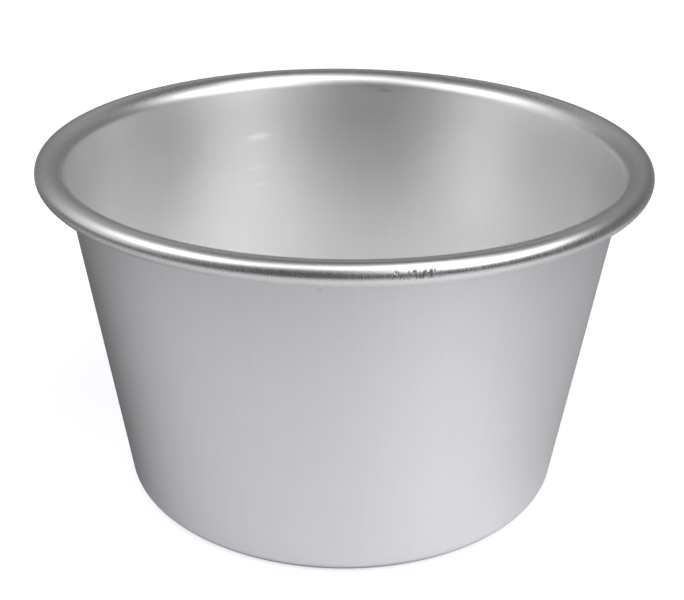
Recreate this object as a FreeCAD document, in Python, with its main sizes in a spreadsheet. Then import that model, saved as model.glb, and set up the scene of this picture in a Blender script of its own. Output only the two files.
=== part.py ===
import FreeCAD, Part

import math
import os

import Sketcher

# Panettone tin: a cup drawn and spun from one round blank of aluminium sheet.
# It has a flat base, a small rounded foot corner, a straight wall that widens upwards,
# and a rim that is rolled outwards, over and under into a hollow bead.
# The axis is +Z, and the origin is the centre of the underside.

# Driving sizes in millimetres.
SIZES = {
    # Underside to the crest of the rim.
    "tin_height": 116.0,
    # Across the inside, where the straight wall runs into the lip.
    "mouth_diameter": 180.0,
    # Across the outside of the foot, where wall and underside would meet in a sharp corner.
    "base_diameter": 149.0,
    # Gauge of the sheet.
    "sheet_gauge": 1.0,
    # Outside radius of the foot corner.
    "corner_radius": 5.0,
    # Upper face of the lip, from the wall up to the crest.
    "lip_radius": 6.6,
    # Outer face of the bead, from the crest round to its lowest point.
    "bead_radius": 3.55,
    # Lower face of the tuck, from the lowest point back in towards the wall.
    "tuck_radius": 6.8,
    # Room between the raw edge of the sheet and the wall that it is tucked against.
    "edge_gap": 0.3,
}

START, END, CENTRE = 1, 2, 3
ORIGIN_POINT = (-1, 1)
HORIZONTAL_AXIS = -1
QUARTER = math.pi / 2.0
FULL_TURN = 360.0
UP = FreeCAD.Vector(0, 0, 1)


def point(across, height):
    """A point of the section: distance from the axis, height above the table."""
    return FreeCAD.Vector(across, height, 0)


def arc(centre, radius, first, last):
    """An arc drawn anticlockwise from the first angle to the last."""
    return Part.ArcOfCircle(Part.Circle(centre, UP, radius), first, last)


def fill_sheet(document):
    """Puts every driving size in a spreadsheet cell that bears its name."""
    sheet = document.addObject("Spreadsheet::Sheet", "Sizes")
    for row, (name, size) in enumerate(SIZES.items(), start=1):
        sheet.set(f"A{row}", name)
        sheet.set(f"B{row}", str(size))
        sheet.setAlias(f"B{row}", name)
    return sheet


def origin_plane(body, role):
    """The body's own origin plane of that role."""
    return next(plane for plane in body.Origin.OriginFeatures if plane.Role == role)


def drawn_section():
    """The lines and arcs of half the tin's section, drawn close to their places.

    The outside face comes first, from the underside to the hollow of the bead, then the
    raw edge, then the other face from the tuck over the crest down to the floor.
    """
    height = SIZES["tin_height"]
    mouth = SIZES["mouth_diameter"] / 2.0
    foot = SIZES["base_diameter"] / 2.0
    gauge = SIZES["sheet_gauge"]
    corner = SIZES["corner_radius"]
    lip = SIZES["lip_radius"]
    bead = SIZES["bead_radius"]
    tuck = SIZES["tuck_radius"]

    lean = math.atan2(mouth + gauge - foot, height - lip)
    out_x, out_y = math.cos(lean), -math.sin(lean)
    flat = foot - corner * math.tan((QUARTER - lean) / 2.0)
    crest = mouth + lip * out_x

    corner_centre = point(flat, corner)
    lip_centre = point(crest, height - lip)
    bead_centre = point(crest, height - bead)
    tuck_centre = point(crest, height - 2.0 * bead + tuck)

    # The raw edge lies where the tuck comes within its gap of the lip's lower face.
    reach = lip - gauge - SIZES["edge_gap"]
    apart = tuck_centre.y - lip_centre.y
    rise = (reach ** 2 - tuck ** 2 + apart ** 2) / (2.0 * apart)
    run = math.sqrt(reach ** 2 - rise ** 2)
    edge_low = point(crest - run, lip_centre.y + rise)
    edge_angle = math.atan2(edge_low.y - tuck_centre.y, edge_low.x - tuck_centre.x)
    edge_high = edge_low + (tuck_centre - edge_low).normalize() * gauge

    def beside(centre, radius):
        """The point of a circle where the leaning wall would touch it on the outside."""
        return point(centre.x + radius * out_x, centre.y + radius * out_y)

    return {
        "underside": Part.LineSegment(point(0, 0), point(flat, 0)),
        "corner_outside": arc(corner_centre, corner, -QUARTER, -lean),
        "wall_outside": Part.LineSegment(beside(corner_centre, corner), beside(lip_centre, gauge - lip)),
        "lip_lower": arc(lip_centre, lip - gauge, QUARTER, math.pi - lean),
        "bead_hollow": arc(bead_centre, bead - gauge, -QUARTER, QUARTER),
        "tuck_upper": arc(tuck_centre, tuck - gauge, edge_angle, -QUARTER),
        "raw_edge": Part.LineSegment(edge_high, edge_low),
        "tuck_lower": arc(tuck_centre, tuck, edge_angle, -QUARTER),
        "bead_face": arc(bead_centre, bead, -QUARTER, QUARTER),
        "lip_upper": arc(lip_centre, lip, QUARTER, math.pi - lean),
        "wall_inside": Part.LineSegment(beside(lip_centre, -lip), beside(corner_centre, corner - gauge)),
        "corner_inside": arc(corner_centre, corner - gauge, -QUARTER, -lean),
        "floor": Part.LineSegment(point(flat, gauge), point(0, gauge)),
        "axis": Part.LineSegment(point(0, gauge), point(0, 0)),
        "foot_line": Part.LineSegment(beside(corner_centre, corner), point(foot, 0)),
    }


# Faces that run into each other without a corner.
SMOOTH_JOINTS = (
    ("underside", END, "corner_outside", START),
    ("corner_outside", END, "wall_outside", START),
    ("wall_outside", END, "lip_lower", END),
    ("lip_lower", START, "bead_hollow", END),
    ("bead_hollow", START, "tuck_upper", END),
    ("tuck_lower", END, "bead_face", START),
    ("bead_face", END, "lip_upper", START),
    ("lip_upper", END, "wall_inside", START),
    ("wall_inside", END, "corner_inside", END),
    ("corner_inside", START, "floor", START),
)

# Corners of the section: both ends of the raw edge, and the axis.
SHARP_JOINTS = (
    ("tuck_upper", START, "raw_edge", START),
    ("raw_edge", END, "tuck_lower", START),
    ("floor", END, "axis", START),
    ("axis", END, "underside", START),
    ("corner_outside", END, "foot_line", START),
)

# The two faces of the sheet keep one centre in each bend.
SHARED_CENTRES = (
    ("corner_outside", "corner_inside"),
    ("lip_lower", "lip_upper"),
    ("bead_hollow", "bead_face"),
    ("tuck_upper", "tuck_lower"),
)


def add_section(body):
    """Draws the section in the body's XZ plane and ties it to the spreadsheet."""
    sketch = body.newObject("Sketcher::SketchObject", "sheet_section")
    sketch.AttachmentSupport = (origin_plane(body, "XZ_Plane"), [""])
    sketch.MapMode = "FlatFace"

    drawn = drawn_section()
    line = {name: sketch.addGeometry(shape, name == "foot_line") for name, shape in drawn.items()}

    def hold(kind, *places):
        """Adds a constraint that has no size."""
        sketch.addConstraint(Sketcher.Constraint(kind, *places))

    def size(name, formula, kind, *places):
        """Adds a named dimension that follows the spreadsheet."""
        index = sketch.addConstraint(Sketcher.Constraint(kind, *places))
        sketch.renameConstraint(index, name)
        sketch.setExpression(f"Constraints.{name}", formula)

    for first, first_end, second, second_end in SMOOTH_JOINTS:
        hold("Tangent", line[first], first_end, line[second], second_end)
    for first, first_end, second, second_end in SHARP_JOINTS:
        hold("Coincident", line[first], first_end, line[second], second_end)
    for first, second in SHARED_CENTRES:
        hold("Coincident", line[first], CENTRE, line[second], CENTRE)

    hold("Coincident", line["underside"], START, *ORIGIN_POINT)
    hold("Horizontal", line["underside"])
    hold("Horizontal", line["floor"])
    hold("Vertical", line["axis"])
    hold("PointOnObject", line["foot_line"], END, HORIZONTAL_AXIS)
    hold("Parallel", line["foot_line"], line["wall_outside"])

    # The crest and the lowest point of the bead stand on one upright line with all centres.
    hold("Vertical", line["lip_upper"], CENTRE, line["bead_face"], CENTRE)
    hold("Vertical", line["tuck_lower"], CENTRE, line["bead_face"], CENTRE)
    hold("PointOnObject", line["tuck_lower"], CENTRE, line["raw_edge"])

    foot = SIZES["base_diameter"] / 2.0
    mouth = SIZES["mouth_diameter"] / 2.0
    lip_hollow = SIZES["lip_radius"] - SIZES["sheet_gauge"]
    reach = lip_hollow - SIZES["edge_gap"]
    size("foot", "Sizes.base_diameter / 2", "DistanceX", *ORIGIN_POINT, line["foot_line"], END, foot)
    size("mouth", "Sizes.mouth_diameter / 2", "DistanceX", *ORIGIN_POINT, line["wall_inside"], START, mouth)
    size("crest", "Sizes.tin_height", "DistanceY", *ORIGIN_POINT, line["bead_face"], END,
         SIZES["tin_height"])
    size("gauge", "Sizes.sheet_gauge", "DistanceY", *ORIGIN_POINT, line["axis"], START,
         SIZES["sheet_gauge"])
    size("corner", "Sizes.corner_radius", "Radius", line["corner_outside"], SIZES["corner_radius"])
    size("lip", "Sizes.lip_radius", "Radius", line["lip_upper"], SIZES["lip_radius"])
    size("lip_hollow", "Sizes.lip_radius - Sizes.sheet_gauge", "Radius", line["lip_lower"], lip_hollow)
    size("bead", "Sizes.bead_radius", "Radius", line["bead_face"], SIZES["bead_radius"])
    size("tuck", "Sizes.tuck_radius", "Radius", line["tuck_lower"], SIZES["tuck_radius"])
    size("edge_reach", "Sizes.lip_radius - Sizes.sheet_gauge - Sizes.edge_gap", "Distance",
         line["lip_lower"], CENTRE, line["raw_edge"], END, reach)
    return sketch


def add_tin(document):
    """The whole tin: its section turned once round the axis."""
    body = document.addObject("PartDesign::Body", "tin")
    body.Label = "tin"
    sketch = add_section(body)
    document.recompute()
    spun = body.newObject("PartDesign::Revolution", "spun_sheet")
    spun.Profile = sketch
    spun.ReferenceAxis = (sketch, ["V_Axis"])
    spun.Angle = FULL_TURN
    sketch.Visibility = False
    body.Tip = spun
    return body


def check(document, bodies):
    """Stops if any object failed or a body is not one sound solid."""
    for item in document.Objects:
        if "Invalid" in item.State or "Error" in item.State:
            raise RuntimeError(f"{item.Label} failed: {item.State}")
    for body in bodies:
        shape = body.Shape
        if shape.isNull() or not shape.isValid() or len(shape.Solids) != 1:
            raise RuntimeError(f"{body.Label} is not one valid solid")


def main():
    """Builds the tin, checks it and writes its file."""
    document = FreeCAD.newDocument("panettone_tin")
    fill_sheet(document)
    document.recompute()
    bodies = [add_tin(document)]
    document.recompute()
    check(document, bodies)
    os.makedirs("parts", exist_ok=True)
    for body in bodies:
        body.Shape.exportStep(f"parts/{body.Label}.step")
        box = body.Shape.BoundBox
        print(body.Label, f"{box.XLength:.2f} x {box.YLength:.2f} x {box.ZLength:.2f} mm,",
              f"{body.Shape.Volume / 1000.0:.2f} cm3")


main()
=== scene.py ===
import logging
import math
from dataclasses import dataclass, field
from enum import Enum

import bpy
import numpy as np
from mathutils import Matrix, Vector


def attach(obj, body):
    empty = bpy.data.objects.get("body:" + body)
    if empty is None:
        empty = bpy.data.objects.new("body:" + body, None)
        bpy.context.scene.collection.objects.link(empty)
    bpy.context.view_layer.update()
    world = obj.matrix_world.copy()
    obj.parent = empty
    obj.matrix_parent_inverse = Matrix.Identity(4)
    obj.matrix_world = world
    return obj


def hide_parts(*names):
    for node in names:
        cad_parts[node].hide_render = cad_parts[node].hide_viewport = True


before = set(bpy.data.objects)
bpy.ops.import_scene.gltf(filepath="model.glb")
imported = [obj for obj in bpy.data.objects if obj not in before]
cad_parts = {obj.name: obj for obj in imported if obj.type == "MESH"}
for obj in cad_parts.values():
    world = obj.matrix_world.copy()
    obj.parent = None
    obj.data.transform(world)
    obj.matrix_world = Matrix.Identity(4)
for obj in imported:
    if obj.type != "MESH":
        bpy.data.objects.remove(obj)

# The panettone tin: one cup of satin aluminium, spun from sheet, with a rolled rim.
# Lengths are metres, +Z is up and the tin stands on the floor at the origin.

LOG = logging.getLogger("panettone_tin")
BODY = "root"
NODE = "tin"
TURN_MAP = "turned"

Socket = bpy.types.NodeSocket
Source = Socket | float


class Finish(Enum):
    """The two finishes of the tin, in the order of its material slots."""

    WALL = 0
    RIM = 1


class Rays(Enum):
    """The kinds of ray that a stage piece can be hidden from."""

    CAMERA = "visible_camera"
    DIFFUSE = "visible_diffuse"
    SHADOW = "visible_shadow"


def arc_points(
    centre: tuple[float, float], radius: float, first: float, last: float, count: int
) -> np.ndarray:
    """Points of a circular arc: centre plus radius times the cosine and sine of the angle.

    Args:
        centre: Distance from the axis and height of the arc's centre.
        radius: The arc's radius.
        first: Angle of the first point, in radians.
        last: Angle of the last point, in radians.
        count: Number of points, both ends included.

    Returns:
        An array of count rows, distance from the axis and height.
    """
    angle = np.linspace(first, last, count)
    return np.stack([centre[0] + radius * np.cos(angle), centre[1] + radius * np.sin(angle)], axis=1)


def line_points(start: np.ndarray, end: np.ndarray, count: int) -> np.ndarray:
    """Evenly spaced points of a straight line: start plus a share of the way to end.

    Args:
        start: Distance from the axis and height of the first point.
        end: The same for the last point.
        count: Number of points, both ends included.

    Returns:
        An array of count rows, distance from the axis and height.
    """
    share = np.linspace(0.0, 1.0, count)[:, None]
    return np.asarray(start) * (1.0 - share) + np.asarray(end) * share


def mesh_object(name: str, vertices: np.ndarray, faces: list[np.ndarray]) -> bpy.types.Object:
    """Puts arrays of vertices and faces into a mesh, and the mesh into the scene.

    Args:
        name: Name of the object and its mesh.
        vertices: One row of three coordinates for each vertex.
        faces: Arrays of vertex numbers, each array with faces of one number of corners.

    Returns:
        The object, at the origin.
    """
    corners = np.concatenate([group.ravel() for group in faces])
    sizes = np.concatenate([np.full(len(group), group.shape[1]) for group in faces])
    starts = np.concatenate([[0], np.cumsum(sizes)[:-1]])
    mesh = bpy.data.meshes.new(name)
    mesh.vertices.add(len(vertices))
    mesh.vertices.foreach_set("co", vertices.astype(np.float32).ravel())
    mesh.loops.add(len(corners))
    mesh.loops.foreach_set("vertex_index", corners.astype(np.int32))
    mesh.polygons.add(len(sizes))
    mesh.polygons.foreach_set("loop_start", starts.astype(np.int32))
    mesh.polygons.foreach_set("loop_total", sizes.astype(np.int32))
    mesh.update(calc_edges=True)
    made = bpy.data.objects.new(name, mesh)
    bpy.context.scene.collection.objects.link(made)
    return made


def ring_quads(rows: int, columns: int) -> np.ndarray:
    """Quads between rows of vertices that close round the axis, counted row by row.

    Args:
        rows: Number of rows.
        columns: Number of vertices in each row.

    Returns:
        An array of four vertex numbers for each quad: along the lower row, then back along
        the upper one.
    """
    column = np.arange(columns)
    following = (column + 1) % columns
    row = np.arange(rows - 1)[:, None] * columns
    above = row + columns
    quads = np.stack([row + column, row + following, above + following, above + column], axis=-1)
    return quads.reshape(-1, 4)


def pole_fan(pole: int, first: int, columns: int) -> np.ndarray:
    """Triangles between one row of vertices and a pole: pole, vertex, following vertex.

    Args:
        pole: Number of the pole's vertex.
        first: Number of the row's first vertex.
        columns: Number of vertices in the row.

    Returns:
        An array of three vertex numbers for each triangle.
    """
    column = np.arange(columns)
    return np.stack([np.full(columns, pole), first + column, first + (column + 1) % columns], axis=1)


@dataclass(frozen=True)
class SheetSection:
    """Half the tin's section: the two faces of the sheet, from axis to raw edge and back."""

    height: float = 0.116
    mouth_radius: float = 0.090
    foot_radius: float = 0.0745
    gauge: float = 0.001
    corner_radius: float = 0.005
    lip_radius: float = 0.0066
    bead_radius: float = 0.00355
    tuck_radius: float = 0.0068
    edge_gap: float = 0.0003
    flat_steps: int = 10
    wall_steps: int = 24
    corner_steps: int = 10
    lip_steps: int = 18
    bead_steps: int = 34
    tuck_steps: int = 8
    lean_rounds: int = 20

    def lean(self) -> float:
        """Angle between the wall and the axis.

        Its tangent is the wall's spread over its rise. Both depend a little on the angle
        itself, so they are worked out again from it for a number of rounds.

        Returns:
            The angle in radians.
        """
        spread = self.mouth_radius + self.gauge - self.foot_radius
        lean = math.atan2(spread, self.height - self.lip_radius)
        for _ in range(self.lean_rounds):
            rise = self.height - self.lip_radius * (1.0 - math.sin(lean))
            spread = self.mouth_radius - self.foot_radius + self.gauge / math.cos(lean)
            lean = math.atan2(spread, rise)
        return lean

    def crest_radius(self) -> float:
        """Distance from the axis to the crest of the rim."""
        return self.mouth_radius + self.lip_radius * math.cos(self.lean())

    def rim_radius(self) -> float:
        """Distance from the axis to the outermost point of the bead."""
        return self.crest_radius() + self.bead_radius

    def tuck_end(self, tuck_height: float) -> float:
        """Angle where the tuck's lower face ends, its gap short of the lip's lower face.

        The end is where a circle round the lip's centre, of the lip's radius less gauge and
        gap, crosses the circle of the tuck.

        Args:
            tuck_height: Height of the tuck's centre.

        Returns:
            The angle at the tuck's centre, in radians.
        """
        reach = self.lip_radius - self.gauge - self.edge_gap
        apart = tuck_height - (self.height - self.lip_radius)
        rise = (reach ** 2 - self.tuck_radius ** 2 + apart ** 2) / (2.0 * apart)
        run = math.sqrt(reach ** 2 - rise ** 2)
        return math.atan2(rise - apart, -run)

    def runs(self) -> dict[str, tuple[np.ndarray, Finish]]:
        """The lines and arcs of the sheet's outline in their order, each with its finish.

        The outside face runs from the underside's centre up to the raw edge, and the
        inside face from the raw edge over the crest down to the floor's centre.

        Returns:
            For each run its points, as distance from the axis and height, and its finish.
        """
        lean, crest = self.lean(), self.crest_radius()
        quarter = math.pi / 2.0
        flat = self.foot_radius - self.corner_radius * math.tan((quarter - lean) / 2.0)
        corner = (flat, self.corner_radius)
        lip = (crest, self.height - self.lip_radius)
        bead = (crest, self.height - self.bead_radius)
        tuck = (crest, self.height - 2.0 * self.bead_radius + self.tuck_radius)
        edge = self.tuck_end(tuck[1])
        gauge = self.gauge

        corner_out = arc_points(corner, self.corner_radius, -quarter, -lean, self.corner_steps)
        lip_under = arc_points(lip, self.lip_radius - gauge, math.pi - lean, quarter, self.lip_steps)
        bead_hollow = arc_points(bead, self.bead_radius - gauge, quarter, -quarter, self.bead_steps)
        tuck_upper = arc_points(tuck, self.tuck_radius - gauge, -quarter, edge, self.tuck_steps)
        tuck_lower = arc_points(tuck, self.tuck_radius, edge, -quarter, self.tuck_steps)
        bead_face = arc_points(bead, self.bead_radius, -quarter, quarter, self.bead_steps)
        lip_face = arc_points(lip, self.lip_radius, quarter, math.pi - lean, self.lip_steps)
        corner_in = arc_points(corner, self.corner_radius - gauge, -lean, -quarter, self.corner_steps)

        return {
            "underside": (line_points((0.0, 0.0), corner_out[0], self.flat_steps), Finish.WALL),
            "corner_outside": (corner_out, Finish.WALL),
            "wall_outside": (line_points(corner_out[-1], lip_under[0], self.wall_steps), Finish.WALL),
            "lip_lower": (lip_under, Finish.RIM),
            "bead_hollow": (bead_hollow, Finish.RIM),
            "tuck_upper": (tuck_upper, Finish.RIM),
            "raw_edge": (np.stack([tuck_upper[-1], tuck_lower[0]]), Finish.RIM),
            "tuck_lower": (tuck_lower, Finish.RIM),
            "bead_face": (bead_face, Finish.RIM),
            "lip_upper": (lip_face, Finish.RIM),
            "wall_inside": (line_points(lip_face[-1], corner_in[0], self.wall_steps), Finish.WALL),
            "corner_inside": (corner_in, Finish.WALL),
            "floor": (line_points(corner_in[-1], (0.0, gauge), self.flat_steps), Finish.WALL),
        }

    def profile(self) -> tuple[np.ndarray, np.ndarray]:
        """The whole outline as one list of points, and the finish of each stretch between two.

        Returns:
            Points as distance from the axis and height, and a Finish value per stretch.
        """
        runs = self.runs().values()
        first = next(iter(runs))[0][:1]
        points = np.concatenate([first] + [run[1:] for run, _ in runs])
        finishes = np.concatenate([np.full(len(run) - 1, finish.value) for run, finish in runs])
        return points, finishes

    def along(self, run_name: str, share: float) -> float:
        """Distance along the outline, from the underside's centre to a place on one of its runs.

        Args:
            run_name: The name of the run.
            share: How far along the run, from 0 at its start to 1 at its end.

        Returns:
            The distance in metres, as the UV map counts it.
        """
        total = 0.0
        for name, (points, _) in self.runs().items():
            length = float(np.hypot(*np.diff(points, axis=0).T).sum())
            if name == run_name:
                return total + share * length
            total += length
        raise KeyError(run_name)

    def at_height(self, run_name: str, height: float) -> float:
        """Distance along the outline to a height on one of the wall's two faces.

        Args:
            run_name: The name of the face's run.
            height: Height over the table.

        Returns:
            The distance in metres.
        """
        start, end = self.runs()[run_name][0][[0, -1], 1]
        return self.along(run_name, (height - start) / (end - start))


@dataclass(frozen=True)
class Tin:
    """The tin itself, turned from its section.

    Each of its waves has a number of crests round the tin, a share of the out-of-round
    and an angle in radians.
    """

    section: SheetSection = field(default_factory=SheetSection)
    segments: int = 384
    out_of_round: float = 0.00012
    wave_mean: float = 0.6
    waves: tuple[tuple[float, float, float], ...] = ((2.0, 0.3, 0.7), (3.0, 0.2, 2.1))
    sharp_from_deg: float = 40.0
    name: str = "tin_shell"

    def surface(self) -> tuple[np.ndarray, np.ndarray, np.ndarray, np.ndarray]:
        """The turned surface on a grid of section points by segments.

        Each point's distance from the axis is the section's, less the out-of-round times
        the square of its share of the rim's radius times the waves, as a spun rim is never
        quite round. The waves are their mean plus the sum of share times cosine of crests
        times angle. The two ends of the section lie on the axis, and one vertex closes
        each pole.

        Returns:
            Vertices, the angle of each column, the distance along the section of each
            row and the finish of each stretch between two rows.
        """
        points, finishes = self.section.profile()
        inner = points[1:-1]
        rows, columns = len(inner), self.segments
        turn = np.linspace(0.0, 2.0 * np.pi, columns, endpoint=False)
        share = inner[:, 0] / self.section.rim_radius()
        waves = (size * np.cos(crests * turn + start) for crests, size, start in self.waves)
        wave = sum(waves, start=self.wave_mean)
        radius = inner[:, 0][:, None] - self.out_of_round * (share[:, None] ** 2) * wave[None, :]
        vertices = np.empty((rows * columns + 2, 3))
        vertices[:-2, 0] = (radius * np.cos(turn)[None, :]).ravel()
        vertices[:-2, 1] = (radius * np.sin(turn)[None, :]).ravel()
        vertices[:-2, 2] = np.repeat(inner[:, 1], columns)
        vertices[-2] = (0.0, 0.0, points[0, 1])
        vertices[-1] = (0.0, 0.0, points[-1, 1])
        along = np.concatenate([[0.0], np.cumsum(np.hypot(*np.diff(points, axis=0).T))])
        return vertices, turn, along, finishes

    def turn_map(self, turn: np.ndarray, along: np.ndarray) -> np.ndarray:
        """The UV of each face corner: share of a turn, and distance along the section.

        Args:
            turn: The angle of each column.
            along: The distance along the section of each of its points, both ends included.

        Returns:
            An array of one row for each corner, in the order of the faces: the quads, the
            fan under the base and the fan on the floor.
        """
        columns = self.segments
        share = np.append(turn / (2.0 * np.pi), 1.0)
        left, right = share[:-1], share[1:]
        middle = (left + right) / 2.0
        low, high = along[1:-2], along[2:-1]
        quad_u = np.tile(np.stack([left, right, right, left], axis=-1).ravel(), len(low))
        quad_v = np.repeat(np.stack([low, low, high, high], axis=-1), columns, axis=0).ravel()
        bottom_u = np.stack([middle, right, left], axis=-1).ravel()
        bottom_v = np.tile([along[0], along[1], along[1]], columns)
        top_u = np.stack([middle, left, right], axis=-1).ravel()
        top_v = np.tile([along[-1], along[-2], along[-2]], columns)
        across, upward = [quad_u, bottom_u, top_u], [quad_v, bottom_v, top_v]
        return np.stack([np.concatenate(across), np.concatenate(upward)], axis=1)

    def build(self) -> bpy.types.Object:
        """Makes the mesh: quads between rows, a fan of triangles at each pole, and a UV map.

        Returns:
            The tin's object, at the origin.
        """
        vertices, turn, along, finishes = self.surface()
        columns = self.segments
        rows = (len(vertices) - 2) // columns
        low_pole, high_pole = len(vertices) - 2, len(vertices) - 1
        bottom = pole_fan(low_pole, 0, columns)[:, [0, 2, 1]]
        top = pole_fan(high_pole, (rows - 1) * columns, columns)
        piece = mesh_object(self.name, vertices, [ring_quads(rows, columns), bottom, top])
        mesh = piece.data
        layer = mesh.uv_layers.new(name=TURN_MAP)
        layer.data.foreach_set("uv", self.turn_map(turn, along).astype(np.float32).ravel())

        fans = np.full(2 * columns, Finish.WALL.value)
        slots = np.concatenate([np.repeat(finishes[1:-1], columns), fans])
        mesh.polygons.foreach_set("material_index", slots.astype(np.int32))
        mesh.polygons.foreach_set("use_smooth", np.ones(len(slots), dtype=bool))
        mesh.set_sharp_from_angle(angle=math.radians(self.sharp_from_deg))
        mesh.validate()
        return piece

    def dress(self, piece: bpy.types.Object, wall: bpy.types.Material, rim: bpy.types.Material) -> None:
        """Gives the tin its two finishes and its place in the frame.

        Args:
            piece: The tin's object.
            wall: The finish of base, wall and floor.
            rim: The finish of lip and bead.
        """
        piece.data.materials.append(wall)
        piece.data.materials.append(rim)
        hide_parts(NODE)
        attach(piece, BODY)


@dataclass(frozen=True)
class MetalLook:
    """What the metal shader takes: plain values, and sockets for what varies over it.

    The stretch turn is the anisotropy's turn from the direction round the tin, as a share
    of a full turn.
    """

    colour: tuple[float, float, float]
    anisotropy: float
    stretch_turn: float
    shade: Socket
    roughness: Socket
    height: Socket


@dataclass(frozen=True)
class Mark:
    """A small oval mark on the wall.

    Its place is a share of a turn and a height on one face, and its half sizes are a share
    of a turn and a distance along the section. The slant raises one end over the other.
    """

    turn: float
    height: float
    half_turn: float
    half_width: float
    strength: float
    slant: float = 0.0
    face: str = "wall_inside"


class Graph:
    """The node tree of one material, with short ways to add and join its nodes."""

    def __init__(self, name: str) -> None:
        """Starts an empty node material.

        Args:
            name: The material's name.
        """
        self.material = bpy.data.materials.new(name)
        self.material.use_nodes = True
        self.tree = self.material.node_tree
        self.tree.nodes.clear()

    def node(self, kind: str, **settings: object) -> bpy.types.Node:
        """Adds a shader node.

        Args:
            kind: The node's type without its ShaderNode prefix.
            settings: Properties of the node and their values.

        Returns:
            The node.
        """
        made = self.tree.nodes.new("ShaderNode" + kind)
        for name, value in settings.items():
            setattr(made, name, value)
        return made

    def put(self, source: Source, target: Socket) -> None:
        """Joins a socket to the target, or sets the target to a plain number."""
        if isinstance(source, Socket):
            self.tree.links.new(source, target)
        else:
            target.default_value = source

    def number(self, operation: str, *terms: Source, clamp: bool = False) -> Socket:
        """Works out one number from others.

        Args:
            operation: The Math node's operation.
            terms: Its inputs in order, each a socket or a plain number.
            clamp: Whether the result is kept between 0 and 1.

        Returns:
            The socket of the result.
        """
        made = self.node("Math", operation=operation, use_clamp=clamp)
        for place, term in enumerate(terms):
            self.put(term, made.inputs[place])
        return made.outputs["Value"]

    def total(self, *terms: Source) -> Socket:
        """Adds any count of numbers."""
        result = terms[0]
        for term in terms[1:]:
            result = self.number("ADD", result, term)
        return result

    def swing(self, pattern: Socket, width: float) -> Socket:
        """A pattern from 0 to 1 made to swing evenly about 0: (pattern - 0.5) times width."""
        return self.number("MULTIPLY_ADD", pattern, width, -0.5 * width)

    def product(self, *factors: Source) -> Socket:
        """Multiplies any count of numbers."""
        result = factors[0]
        for factor in factors[1:]:
            result = self.number("MULTIPLY", result, factor)
        return result

    def ramp(self, value: Socket, low: float, high: float) -> Socket:
        """A smooth step from 0 to 1 between low and high: 3 x squared less 2 x cubed."""
        made = self.node("MapRange", interpolation_type="SMOOTHSTEP")
        self.put(value, made.inputs["Value"])
        made.inputs["From Min"].default_value = low
        made.inputs["From Max"].default_value = high
        return made.outputs["Result"]

    def noise(self, place: Socket, scale: float, detail: float) -> Socket:
        """Noise from 0 to 1 at a place.

        Args:
            place: The place, as a vector.
            scale: How many waves it has in each unit of the place.
            detail: How many finer layers are added.

        Returns:
            The socket of the noise.
        """
        made = self.node("TexNoise")
        self.put(place, made.inputs["Vector"])
        made.inputs["Scale"].default_value = scale
        made.inputs["Detail"].default_value = detail
        return made.outputs["Fac"]

    def attribute(self, name: str) -> Socket:
        """The number that the mesh stores under that name."""
        return self.node("Attribute", attribute_name=name).outputs["Fac"]

    def glow(self, level: Socket) -> bpy.types.Node:
        """An emission shader of that level."""
        made = self.node("Emission")
        self.put(level, made.inputs["Strength"])
        return made

    def finish(self, shader: Socket) -> bpy.types.Material:
        """Joins the shader to the output and gives the material."""
        self.put(shader, self.node("OutputMaterial").inputs["Surface"])
        return self.material

    def object_place(self) -> Socket:
        """The place on the object, in metres."""
        return self.node("TexCoord").outputs["Object"]

    def turned(self) -> tuple[Socket, Socket]:
        """The share of a turn and the distance along the section, from the tin's UV map."""
        split = self.node("SeparateXYZ")
        self.put(self.node("UVMap", uv_map=TURN_MAP).outputs["UV"], split.inputs[0])
        return split.outputs["X"], split.outputs["Y"]

    def round_place(self, turn: Source, along: Source, radius: float, stretch: float) -> Socket:
        """A place that closes on itself round the tin.

        It is the point at that angle on a circle of the radius, with the distance along
        the section, divided by the stretch, as its height.

        Args:
            turn: Share of a turn.
            along: Distance along the section.
            radius: Radius of the circle, in metres.
            stretch: How many times longer a pattern is along the section than round the tin.

        Returns:
            The socket of the place.
        """
        angle = self.number("MULTIPLY", turn, 2.0 * math.pi)
        made = self.node("CombineXYZ")
        self.put(self.product(self.number("COSINE", angle), radius), made.inputs["X"])
        self.put(self.product(self.number("SINE", angle), radius), made.inputs["Y"])
        self.put(self.number("DIVIDE", along, stretch), made.inputs["Z"])
        return made.outputs["Vector"]

    def rings(self, along: Source, pitch: float, detail: float) -> Socket:
        """Rings round the tin: noise that changes only with the distance along the section.

        Args:
            along: Distance along the section.
            pitch: Mean distance from ring to ring.
            detail: How many finer layers are added.

        Returns:
            The socket of the noise.
        """
        made = self.node("TexNoise", noise_dimensions="1D")
        self.put(along, made.inputs["W"])
        made.inputs["Scale"].default_value = 1.0 / pitch
        made.inputs["Detail"].default_value = detail
        return made.outputs["Fac"]

    def spot(self, turn: Source, along: Source, mark: Mark, section: SheetSection) -> Socket:
        """A soft oval spot: one less the square of the distance in half sizes, squared.

        The distance's upward part is raised by the slant times its part across.

        Args:
            turn: Share of a turn.
            along: Distance along the section.
            mark: Place, size and strength of the spot.
            section: The tin's section.

        Returns:
            The socket of the spot, from 0 outside to the mark's strength in the middle.
        """
        middle = section.at_height(mark.face, mark.height)
        across = self.number("MULTIPLY_ADD", turn, 1.0 / mark.half_turn, -mark.turn / mark.half_turn)
        upward = self.number("MULTIPLY_ADD", along, 1.0 / mark.half_width, -middle / mark.half_width)
        upward = self.number("MULTIPLY_ADD", across, mark.slant, upward)
        square = self.number("MULTIPLY_ADD", across, across, self.number("MULTIPLY", upward, upward))
        inside = self.number("SUBTRACT", 1.0, square, clamp=True)
        return self.product(inside, inside, mark.strength)

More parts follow.
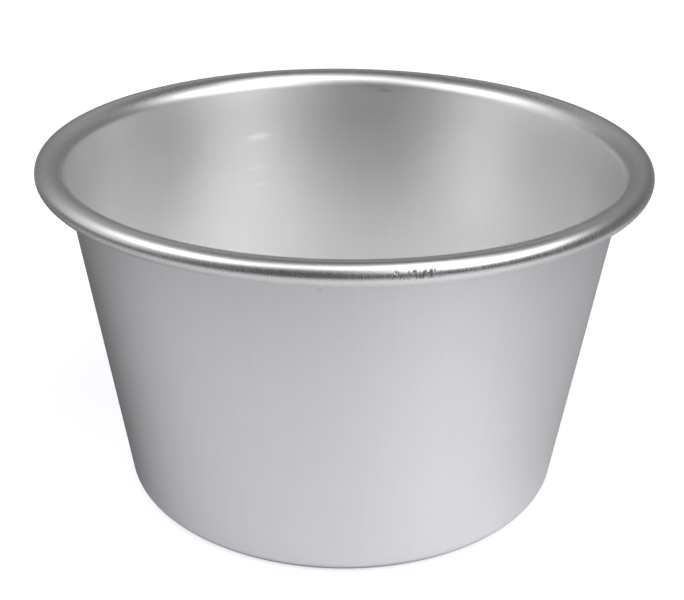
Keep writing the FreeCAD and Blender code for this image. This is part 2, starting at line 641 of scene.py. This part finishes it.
    def metal(self, look: MetalLook) -> bpy.types.Material:
        """Joins the metal shader to its patterns.

        Args:
            look: The plain values and the sockets of the finish.

        Returns:
            The finished material.
        """
        shader = self.node("BsdfPrincipled")
        shader.inputs["Metallic"].default_value = 1.0
        shader.inputs["Anisotropic"].default_value = look.anisotropy
        shader.inputs["Anisotropic Rotation"].default_value = look.stretch_turn
        tint = self.node("VectorMath", operation="SCALE")
        tint.inputs[0].default_value = look.colour
        self.put(look.shade, tint.inputs["Scale"])
        self.put(tint.outputs["Vector"], shader.inputs["Base Color"])
        self.put(look.roughness, shader.inputs["Roughness"])
        bump = self.node("Bump")
        bump.inputs["Strength"].default_value = 1.0
        bump.inputs["Distance"].default_value = 1.0
        self.put(look.height, bump.inputs["Height"])
        self.put(bump.outputs["Normal"], shader.inputs["Normal"])
        tangent = self.node("Tangent", direction_type="UV_MAP", uv_map=TURN_MAP)
        self.put(tangent.outputs["Tangent"], shader.inputs["Tangent"])
        return self.finish(shader.outputs["BSDF"])


@dataclass(frozen=True)
class SatinWall:
    """Base, wall and floor: satin aluminium with faint spinning rings and a soft mottle.

    A pattern's shade and roughness are what it adds or takes at its full strength. Pitches,
    sizes, reaches, heights and depths are metres, and shares run from 0 to 1 along an arc.
    """

    colour: tuple[float, float, float] = (0.955, 0.955, 0.957)
    outer_shade: float = -0.035
    mouth_painted_shade: float = -0.09
    under_rim_painted_shade: float = -0.04
    under_rim_reach: float = 0.004
    mouth_height: float = 0.1
    lower_height: float = 0.03
    roughness: float = 0.36
    lower_roughness: float = 0.32
    anisotropy: float = 0.5
    stretch_turn: float = 0.25
    ring_pitch: float = 0.0009
    ring_detail: float = 3.0
    ring_shade: float = 0.035
    ring_roughness: float = 0.03
    ring_depth: float = 0.0000006
    drawn_pitch: float = 0.0016
    drawn_stretch: float = 40.0
    drawn_detail: float = 2.0
    drawn_shade: float = 0.035
    mottle_size: float = 0.018
    mottle_detail: float = 3.0
    mottle_shade: float = 0.05
    mottle_roughness: float = 0.04
    mottle_depth: float = 0.000012
    stain_shade: float = 0.25
    rub_painted_highlight: float = 0.13
    rub_roughness: float = 0.35
    foot_painted_shade: float = -0.5
    foot_shares: tuple[float, float, float, float] = (0.0, 0.2, 0.48, 0.76)
    # Rub marks: rougher patches whose lighter colour is a painted highlight.
    rub_and_glint_marks: tuple[Mark, ...] = (
        Mark(0.3121, 0.0930, 0.0110, 0.0015, 1.0, -0.3),
        Mark(0.3145, 0.0926, 0.0180, 0.0028, 0.4, -0.2),
        Mark(0.3152, 0.0810, 0.0110, 0.0013, 0.5, -0.2),
        Mark(0.3153, 0.0742, 0.0080, 0.0012, 0.55, -0.2),
        Mark(0.1802, 0.0939, 0.0060, 0.0008, 0.25, 0.1),
        Mark(0.1614, 0.0963, 0.0060, 0.0008, 0.2, 0.1),
    )
    stains: tuple[Mark, ...] = (
        Mark(0.2224, 0.1097, 0.0075, 0.0010, 0.9),
        Mark(0.7390, 0.1047, 0.0016, 0.0007, 0.5, face="wall_outside"),
    )

    def material(self, section: SheetSection) -> bpy.types.Material:
        """Builds the node material.

        The rub and glint marks are short level marks, rougher than the wall, with a lighter
        colour that is a painted highlight, and the stains small dark specks. The shade is 1
        plus what each pattern adds or takes. It goes from the outer shade to the mouth's
        painted shade below the lip, and from there back to 1 at the lower height. The foot's
        painted shade, a dark line where the corner meets the floor, grows between the first
        two shares of the corner and goes again between the last two. Roughness and height
        are sums in the same way.

        Args:
            section: The tin's section.

        Returns:
            The material.
        """
        graph = Graph("satin_wall")
        turn, along = graph.turned()
        rings = graph.rings(along, self.ring_pitch, self.ring_detail)
        drawn_place = graph.round_place(turn, along, section.mouth_radius, self.drawn_stretch)
        drawn = graph.noise(drawn_place, 1.0 / self.drawn_pitch, self.drawn_detail)
        mottle = graph.noise(graph.object_place(), 1.0 / self.mottle_size, self.mottle_detail)
        # These marks are rougher, and their lighter colour is a painted highlight.
        rubbed_and_glinting = graph.total(*(graph.spot(turn, along, mark, section) for mark in self.rub_and_glint_marks))
        stained = graph.total(*(graph.spot(turn, along, mark, section) for mark in self.stains))
        high = section.at_height("wall_inside", self.mouth_height)
        low = section.at_height("wall_inside", self.lower_height)
        # Painted shade: darker inside below the lip, lighter again towards the floor, for how light
        # falls inside the tin.
        mouth = graph.ramp(along, section.along("wall_inside", 0.0), high)
        lower = graph.ramp(along, high, low)
        rim = section.along("wall_outside", 1.0)
        outside = graph.number("LESS_THAN", along, rim)
        # Painted shade: the outer wall is darker just under the bead, where the bead shades it.
        under = graph.product(outside, graph.ramp(along, rim - self.under_rim_reach, rim))
        # Painted shade: a dark band low on the outer corner, where the foot meets the floor.
        bend = [section.along("corner_outside", share) for share in self.foot_shares]
        foot = graph.product(graph.ramp(along, bend[0], bend[1]), graph.ramp(along, bend[3], bend[2]))
        shade = graph.total(
            graph.number("MULTIPLY_ADD", mouth, self.mouth_painted_shade - self.outer_shade, self.outer_shade),
            graph.product(lower, -self.mouth_painted_shade),
            graph.product(under, self.under_rim_painted_shade),
            graph.product(foot, self.foot_painted_shade),
            graph.swing(rings, self.ring_shade),
            graph.swing(drawn, self.drawn_shade),
            graph.swing(mottle, self.mottle_shade),
            graph.product(rubbed_and_glinting, self.rub_painted_highlight),
            graph.product(stained, -self.stain_shade),
            1.0,
        )
        roughness = graph.total(
            graph.swing(rings, self.ring_roughness),
            graph.swing(mottle, self.mottle_roughness),
            graph.product(rubbed_and_glinting, self.rub_roughness),
            graph.product(lower, self.lower_roughness),
            self.roughness,
        )
        height = graph.total(
            graph.product(rings, self.ring_depth), graph.product(mottle, self.mottle_depth)
        )
        look = MetalLook(self.colour, self.anisotropy, self.stretch_turn, shade, roughness, height)
        return graph.metal(look)


@dataclass(frozen=True)
class BurnishedRim:
    """Lip and bead: the same metal, burnished by the rolling, with fine marks across the bead.

    Those marks are its ticks, and the worn patch lies on the bead's near side. Its values
    are of the same kinds as the wall's.
    """

    colour: tuple[float, float, float] = (0.925, 0.925, 0.927)
    roughness: float = 0.265
    wall_roughness: float = 0.36
    fade_length: float = 0.006
    under_painted_shade: float = -0.1
    under_roughness: float = 0.14
    under_shares: tuple[float, float] = (0.45, 0.25)
    anisotropy: float = 0.5
    stretch_turn: float = 0.25
    tick_pitch: float = 0.00055
    tick_stretch: float = 5.0
    tick_detail: float = 1.0
    tick_shares: tuple[float, float] = (0.9, 0.7)
    tick_roughness: float = 0.16
    tick_shade: float = 0.05
    tick_depth: float = 0.0000015
    mottle_size: float = 0.006
    mottle_detail: float = 2.0
    mottle_roughness: float = 0.05
    worn_turn: tuple[float, float] = (0.7707, 0.7908)
    worn_angle_deg: tuple[float, float] = (-6.0, 30.0)
    worn_pitch: float = 0.0009
    worn_stretch: float = 2.5
    worn_detail: float = 2.0
    worn_between: tuple[float, float] = (0.47, 0.6)
    worn_side_edge: float = 0.08
    worn_level_edge: float = 0.2
    worn_shade: float = 0.75
    worn_roughness: float = 0.3
    worn_depth: float = 0.00006

    def worn(self, graph: Graph, turn: Source, along: Source, section: SheetSection) -> Socket:
        """The worn patch on the bead: short ragged scores side by side.

        They show where noise passes its two limits, within soft edges of the patch's span
        round the tin and of its span along the section. An angle over the level of the
        bead's centre is the share one half plus the angle over 180 of the bead's face.

        Args:
            graph: The material's node tree.
            turn: Share of a turn.
            along: Distance along the section.
            section: The tin's section.

        Returns:
            The socket of the patch, from 0 outside to 1 in a score.
        """
        first, last = self.worn_turn
        shares = (0.5 + angle / 180.0 for angle in self.worn_angle_deg)
        low, high = (section.along("bead_face", share) for share in shares)
        place = graph.round_place(turn, along, section.rim_radius(), self.worn_stretch)
        noise = graph.noise(place, 1.0 / self.worn_pitch, self.worn_detail)
        scores = graph.ramp(noise, *self.worn_between)
        side = self.worn_side_edge * (last - first)
        left = graph.ramp(turn, first - side, first + side)
        right = graph.ramp(turn, last + side, last - side)
        level = self.worn_level_edge * (high - low)
        below = graph.ramp(along, low - level, low + level)
        above = graph.ramp(along, high + level, high - level)
        return graph.product(graph.product(left, right), graph.product(below, above), scores)

    def material(self, section: SheetSection) -> bpy.types.Material:
        """Builds the node material.

        Shade, roughness and height are sums as on the wall. The marks across the bead fade
        from its outer face to its crest between two shares of the face, the underside's
        painted shade, with its extra roughness, grows between two others, and the roughness
        becomes the wall's over the fade's length above the wall.

        Args:
            section: The tin's section.

        Returns:
            The material.
        """
        graph = Graph("burnished_rim")
        turn, along = graph.turned()
        place = graph.round_place(turn, along, section.rim_radius(), self.tick_stretch)
        ticks = graph.noise(place, 1.0 / self.tick_pitch, self.tick_detail)
        outward = graph.ramp(along, *(section.along("bead_face", share) for share in self.tick_shares))
        ticks = graph.number("MULTIPLY_ADD", graph.swing(ticks, 1.0), outward, 0.5)
        mottle = graph.noise(graph.object_place(), 1.0 / self.mottle_size, self.mottle_detail)
        worn = self.worn(graph, turn, along, section)
        wall = section.along("wall_inside", 0.0)
        fade = graph.ramp(along, wall - self.fade_length, wall)
        # Painted shade on the bead's underside, which is also rougher.
        under = graph.ramp(along, *(section.along("bead_face", share) for share in self.under_shares))
        shade = graph.total(
            graph.swing(ticks, self.tick_shade),
            graph.product(under, self.under_painted_shade),
            graph.product(worn, -self.worn_shade),
            1.0,
        )
        roughness = graph.total(
            graph.swing(ticks, self.tick_roughness),
            graph.swing(mottle, self.mottle_roughness),
            graph.product(worn, self.worn_roughness),
            graph.product(under, self.under_roughness),
            graph.product(fade, self.wall_roughness - self.roughness),
            self.roughness,
        )
        height = graph.total(
            graph.product(ticks, self.tick_depth), graph.product(worn, -self.worn_depth)
        )
        look = MetalLook(self.colour, self.anisotropy, self.stretch_turn, shade, roughness, height)
        return graph.metal(look)


def hide(piece: bpy.types.Object, *rays: Rays) -> None:
    """Lets the given kinds of ray pass a stage piece."""
    for ray in rays:
        setattr(piece, ray.value, False)


def add_levels(mesh: bpy.types.Mesh, name: str, levels: np.ndarray) -> None:
    """Stores one number for each vertex of a mesh."""
    layer = mesh.attributes.new(name, "FLOAT", "POINT")
    layer.data.foreach_set("value", levels.astype(np.float32).ravel())


def aside_deg(angle: np.ndarray, centre: float) -> np.ndarray:
    """How far angles lie to the side of a centre, from -180 to 180 degrees."""
    return (angle - centre + 180.0) % 360.0 - 180.0


def bell(angle: np.ndarray, centre: float, spread: float) -> np.ndarray:
    """A bell curve in degrees: e to minus half the square of the distance over the spread."""
    return np.exp(-0.5 * (aside_deg(angle, centre) / spread) ** 2)


def grown(angle: np.ndarray, start: float = 0.0) -> np.ndarray:
    """Half of one less the cosine: 0 at the start angle and 1 opposite to it, in radians."""
    return 0.5 - 0.5 * np.cos(angle - start)


@dataclass(frozen=True)
class SoftGlow:
    """A soft bright area of the studio's dome, a bell curve across it and up it.

    Its azimuth is 0 on the camera's side and 90 at +X, and its level is in units of the
    white of the picture.
    """

    azimuth_deg: float
    elevation_deg: float
    level: float
    spread_deg: float
    rise_deg: float
    tilt: float = 0.0

    def over(self, azimuth: np.ndarray, elevation: np.ndarray) -> np.ndarray:
        """The glow's level in each direction.

        It is the level times e to minus half the sum of two squares: the angle across,
        narrowed by the cosine of the elevation, over the spread, and the angle up, less the
        tilt times the sine of the angle across, over the rise.

        Args:
            azimuth: Azimuths in degrees.
            elevation: Elevations in degrees.

        Returns:
            The levels, in an array of the same shape.
        """
        aside = aside_deg(azimuth, self.azimuth_deg)
        across = aside * np.cos(np.radians(elevation)) / self.spread_deg
        slope = self.tilt * np.degrees(np.sin(np.radians(aside)))
        upward = (elevation - self.elevation_deg - slope) / self.rise_deg
        return self.level * np.exp(-0.5 * (across ** 2 + upward ** 2))


@dataclass(frozen=True)
class Dome:
    """The soft studio light: a half ball that the camera doesn't see, with broad soft glows."""

    radius: float = 4.0
    rows: int = 30
    columns: int = 120
    lowest_deg: float = -1.0
    highest_deg: float = 88.0
    level: float = 0.04
    glows: tuple[SoftGlow, ...] = (
        SoftGlow(57.0, 33.0, 3.2, 20.5, 9.0, 0.1),
        SoftGlow(37.0, 64.0, 2.1, 17.0, 12.0),
        SoftGlow(-65.0, 46.0, 2.0, 17.0, 11.0, 0.2),
        SoftGlow(-93.0, 20.0, 0.55, 22.0, 28.0),
        SoftGlow(-171.0, 34.0, 0.26, 50.0, 11.0),
        SoftGlow(180.0, 6.0, 0.13, 60.0, 12.0),
        SoftGlow(0.0, 0.0, 0.08, 50.0, 6.0),
    )

    def levels(self, azimuth: np.ndarray, elevation: np.ndarray) -> np.ndarray:
        """The dome's level in each direction: an even grey and the glows.

        Args:
            azimuth: Azimuths in degrees.
            elevation: Elevations in degrees.

        Returns:
            The levels, in an array of the same shape.
        """
        return self.level + sum(glow.over(azimuth, elevation) for glow in self.glows)

    def build(self) -> bpy.types.Object:
        """Makes the dome: rows of elevation by columns of azimuth, and one vertex at the top.

        Each vertex is the radius times its direction: cosine of elevation times sine of
        azimuth to the right, cosine times cosine to the front, and sine of elevation up.

        Returns:
            The dome's object.
        """
        azimuth = np.linspace(0.0, 360.0, self.columns, endpoint=False)
        elevation = np.linspace(self.lowest_deg, self.highest_deg, self.rows)
        turn, rise = np.meshgrid(np.radians(azimuth), np.radians(elevation))
        flat = np.cos(rise)
        grid = np.stack([flat * np.sin(turn), -flat * np.cos(turn), np.sin(rise)], axis=-1)
        vertices = np.concatenate([grid.reshape(-1, 3), [[0.0, 0.0, 1.0]]]) * self.radius
        quads = ring_quads(self.rows, self.columns)[:, ::-1]
        fan = pole_fan(self.rows * self.columns, (self.rows - 1) * self.columns, self.columns)
        made = mesh_object("soft_dome", vertices, [quads, fan[:, [0, 2, 1]]])
        around, above = np.meshgrid(azimuth, elevation)
        add_levels(made.data, "level", self.levels(np.append(around, 0.0), np.append(above, 90.0)))

        graph = Graph("dome_light")
        glow = graph.glow(graph.attribute("level"))
        made.data.materials.append(graph.finish(glow.outputs["Emission"]))
        graph.material.cycles.emission_sampling = "NONE"
        hide(made, Rays.CAMERA, Rays.SHADOW)
        return made


@dataclass(frozen=True)
class GreyCards:
    """Cards just above the floor that only reflections see.

    Near the tin they let the white floor through, most of all towards the brightest glow,
    and elsewhere they lay painted shade on the floor as reflections see it. They close at a
    dark azimuth behind and to the left, a painted shadow standing in for the tin's own
    shadow on the floor, which gives the bare metal its dark edge, and from the far radius
    on they turn grey all round. Azimuths are 0 on the camera's side and 90 at +X.
    """

    lift: float = 0.0003
    inner_radius: float = 0.0725
    far_radius: float = 0.17
    far_full_radius: float = 0.46
    outer_radius: float = 11.0
    near_rings: int = 24
    far_rings: int = 6
    columns: int = 120
    bright_azimuth_deg: float = 42.0
    bright_spread_deg: float = 22.0
    plain_cover: float = 0.2
    open_azimuth_deg: float = 12.0
    back_cover: float = 0.34
    dark_azimuth_deg: float = 200.0
    dark_spread_deg: float = 28.0
    dark_drift: float = 5.0
    painted_shadow_cover: float = 0.92
    near_level: float = 0.02
    front_level: float = 0.06
    back_level: float = 0.22

    def cover(self, around: np.ndarray, distance: np.ndarray, far: np.ndarray) -> np.ndarray:
        """How much of the floor the cards hide at each place.

        It is one less the product of four shares that stay open: one less the plain cover
        away from the bright azimuth, one less the back cover times the growth from the open
        azimuth, one less the dark cover times a bell round the dark azimuth, and one less
        the far share. The bell drifts sideways by the dark drift over the distance.

        Args:
            around: Azimuth of each place, in radians.
            distance: Distance of each place from the axis.
            far: Share of the way to the far cards, from 0 to 1.

        Returns:
            The cover, from 0 for open to 1 for closed.
        """
        turned = np.degrees(around)
        plain = 1.0 - bell(turned, self.bright_azimuth_deg, self.bright_spread_deg)
        away = grown(around, math.radians(self.open_azimuth_deg))
        beside = np.maximum(np.abs(turned - 180.0) - self.dark_drift / distance, 0.0)
        seen = 180.0 + np.sign(turned - 180.0) * beside
        # Painted shadow: the tin's own shadow on the floor behind and to the left, as reflections see
        # it.
        dark = bell(seen, self.dark_azimuth_deg, self.dark_spread_deg)
        opened = (1.0 - self.plain_cover * plain) * (1.0 - self.back_cover * away)
        return 1.0 - opened * (1.0 - self.painted_shadow_cover * dark) * (1.0 - far)

    def build(self) -> bpy.types.Object:
        """Makes the cards as one ring: rings of points, each with a cover and a level.

        The rings are evenly spaced out to the far full radius and grow by one ratio beyond.
        The far share is a smooth step of the distance between the two far radii. The level
        goes with it from the near level to the far one, which itself grows from front to
        back as half of one less the cosine of the azimuth.

        Returns:
            The cards' object.
        """
        low, high = self.far_radius, self.far_full_radius
        near = np.linspace(self.inner_radius, high, self.near_rings)
        radius = np.concatenate([near, np.geomspace(high, self.outer_radius, self.far_rings)[1:]])
        azimuth = np.linspace(0.0, 2.0 * np.pi, self.columns, endpoint=False)
        around, distance = np.meshgrid(azimuth, radius)
        lift = np.full_like(distance, self.lift)
        place = [distance * np.sin(around), -distance * np.cos(around), lift]
        quads = np.roll(ring_quads(len(radius), self.columns)[:, ::-1], 1, axis=1)
        made = mesh_object("grey_cards", np.stack(place, axis=-1).reshape(-1, 3), [quads])

        far = np.clip((distance - low) / (high - low), 0.0, 1.0)
        far = far * far * (3.0 - 2.0 * far)
        far_level = self.front_level + (self.back_level - self.front_level) * grown(around)
        add_levels(made.data, "cover", self.cover(around, distance, far))
        add_levels(made.data, "level", self.near_level + (far_level - self.near_level) * far)

        graph = Graph("card_grey")
        glow = graph.glow(graph.attribute("level"))
        mixed = graph.node("MixShader")
        graph.put(graph.attribute("cover"), mixed.inputs["Fac"])
        graph.put(graph.node("BsdfTransparent").outputs["BSDF"], mixed.inputs[1])
        graph.put(glow.outputs["Emission"], mixed.inputs[2])
        made.data.materials.append(graph.finish(mixed.outputs["Shader"]))
        graph.material.cycles.emission_sampling = "NONE"
        hide(made, Rays.CAMERA, Rays.SHADOW, Rays.DIFFUSE)
        return made


@dataclass(frozen=True)
class Floor:
    """The white floor that the tin stands on."""

    radius: float = 12.0
    sides: int = 96
    albedo: float = 0.6
    camera_glow: float = 0.76
    mirror_glow: float = 0.35
    contact_reach: float = 0.0004
    mirror_reach: float = 0.0024
    glow_colour: tuple[float, float, float] = (0.93, 0.925, 1.0)

    def openness(self, graph: Graph, reach: float) -> Socket:
        """How open a place of the floor is: 0 under the foot, 1 with nothing within reach."""
        nearby = graph.node("AmbientOcclusion")
        nearby.inputs["Distance"].default_value = reach
        return nearby.outputs["AO"]

    def build(self) -> bpy.types.Object:
        """Makes the floor: a disc of matt white that also glows white to camera, gloss and glass.

        The glow is its level times how open the place is, so that the foot's own shadow
        stays. Reflections look for the foot within a wider reach, which gives it a dark line.

        Returns:
            The floor's object.
        """
        turn = np.linspace(0.0, 2.0 * np.pi, self.sides, endpoint=False)
        vertices = np.stack([np.cos(turn), np.sin(turn), np.zeros_like(turn)], axis=1) * self.radius
        made = mesh_object("floor", vertices, [np.arange(self.sides)[None, :]])
        graph = Graph("white_floor")
        path = graph.node("LightPath")
        rays = (path.outputs["Is Camera Ray"], path.outputs["Is Transmission Ray"])
        direct = graph.product(graph.number("MAXIMUM", *rays), self.openness(graph, self.contact_reach))
        mirrored = graph.product(path.outputs["Is Glossy Ray"], self.mirror_glow)
        mirrored = graph.product(mirrored, self.openness(graph, self.mirror_reach))
        glow = graph.glow(graph.number("MULTIPLY_ADD", direct, self.camera_glow, mirrored))
        glow.inputs["Color"].default_value = (*self.glow_colour, 1.0)
        matt = graph.node("BsdfDiffuse")
        matt.inputs["Color"].default_value = (self.albedo, self.albedo, self.albedo, 1.0)
        joined = graph.node("AddShader")
        graph.put(glow.outputs["Emission"], joined.inputs[0])
        graph.put(matt.outputs["BSDF"], joined.inputs[1])
        made.data.materials.append(graph.finish(joined.outputs["Shader"]))
        return made


@dataclass(frozen=True)
class Studio:
    """Everything round the tin: floor, dome, cards and the white beyond them."""

    floor: Floor = Floor()
    dome: Dome = Dome()
    cards: GreyCards = GreyCards()

    def world(self) -> None:
        """Sets the world to a plain white, which the camera sees past the floor."""
        world = bpy.data.worlds.new("white_world")
        world.use_nodes = True
        bpy.context.scene.world = world
        background = world.node_tree.nodes["Background"]
        background.inputs["Color"].default_value = (1.0, 1.0, 1.0, 1.0)
        background.inputs["Strength"].default_value = 1.0

    def build(self) -> None:
        """Builds the stage pieces and the world."""
        self.world()
        for thing in (self.floor, self.dome, self.cards):
            LOG.info("%s", thing.build().name)


@dataclass(frozen=True)
class PhotoCamera:
    """The camera that sees the tin as the photograph does."""

    frame_width_px: float = 684.0
    sensor_mm: float = 36.0
    focal_px: float = 1306.16
    centre_x_px: float = 343.04
    elevation_deg: float = 24.889
    roll_deg: float = 0.632
    distance: float = 0.452277
    aim_height: float = 0.060056
    clip: tuple[float, float] = (0.01, 100.0)

    def build(self) -> bpy.types.Object:
        """Makes the scene's camera.

        It stands at the aim point plus its distance along the direction back to it, and is
        rolled about that direction. The lens is the focal length over the frame's width,
        both in pixels, times the sensor's width, and the shift is minus the offset of the
        picture's centre over the frame's width.

        Returns:
            The camera's object.
        """
        data = bpy.data.cameras.new("photo_camera")
        data.sensor_fit = "HORIZONTAL"
        data.sensor_width = self.sensor_mm
        data.lens = self.focal_px / self.frame_width_px * self.sensor_mm
        data.shift_x = -(self.centre_x_px - self.frame_width_px / 2.0) / self.frame_width_px
        data.clip_start, data.clip_end = self.clip
        camera = bpy.data.objects.new("photo_camera", data)
        bpy.context.scene.collection.objects.link(camera)
        elevation, roll = math.radians(self.elevation_deg), math.radians(self.roll_deg)
        back = Vector((0.0, -math.cos(elevation), math.sin(elevation)))
        right = Vector((1.0, 0.0, 0.0))
        up = back.cross(right)
        turned_right = math.cos(roll) * right + math.sin(roll) * up
        turned_up = -math.sin(roll) * right + math.cos(roll) * up
        rotation = Matrix((turned_right, turned_up, back)).transposed().to_4x4()
        place = Vector((0.0, 0.0, self.aim_height)) + back * self.distance
        camera.matrix_world = Matrix.Translation(place) @ rotation
        bpy.context.scene.camera = camera
        return camera


def main() -> None:
    """Builds the tin, the studio and the camera."""
    logging.basicConfig(level=logging.INFO, format="%(message)s")
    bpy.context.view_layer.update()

    tin = Tin()
    shell = tin.build()
    tin.dress(shell, SatinWall().material(tin.section), BurnishedRim().material(tin.section))
    LOG.info("%s: %d vertices", shell.name, len(shell.data.vertices))

    Studio().build()
    PhotoCamera().build()
    bpy.context.scene.view_settings.view_transform = "Standard"


if __name__ == "__main__":
    main()
